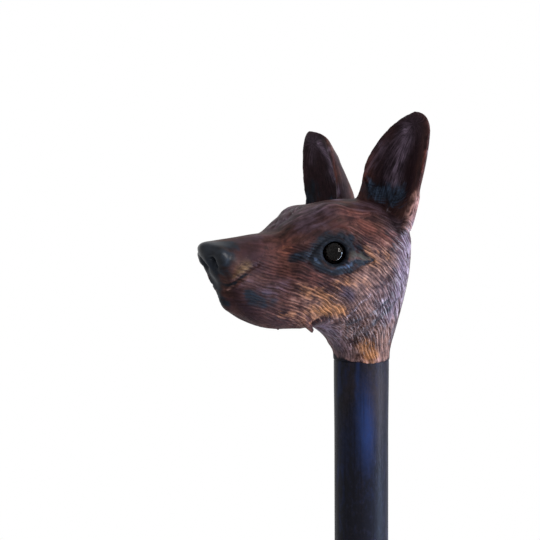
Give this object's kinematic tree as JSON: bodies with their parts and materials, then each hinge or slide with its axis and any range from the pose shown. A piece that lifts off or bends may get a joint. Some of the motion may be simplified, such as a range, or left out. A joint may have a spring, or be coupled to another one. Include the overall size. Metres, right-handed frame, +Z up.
{
  "type": "carved walking stick",
  "caption": "Long dark wooden walking stick with a flush metal foot and a carved, painted dog's head handle with upright ears and glass eyes.",
  "frame": {"origin": "centre of the flat under the ferrule, on the shaft's axis", "axes": "+Z up the shaft, the snout points to -X, the dog's left side is at -Y"},
  "size_m": [0.0855, 0.0664, 1.3993],
  "materials": {
    "painted_fur": "carved wood, painted and satin varnished",
    "stained_wood": "dark blue-brown stain, satin",
    "eye_glass": "clear, polished",
    "painted_iris": "dark brown and black paint",
    "ferrule_metal": "dull grey, worn",
    "hidden_steel": "plain steel"
  },
  "bodies": {
    "root": {"carved_head": "painted_fur", "left_eye_glass": "eye_glass", "right_eye_glass": "eye_glass", "left_eye_backing": "painted_iris", "right_eye_backing": "painted_iris", "head_stud": "hidden_steel", "shaft": "stained_wood", "ferrule": "ferrule_metal", "ferrule_pin": "hidden_steel"}
  },
  "joints": []
}
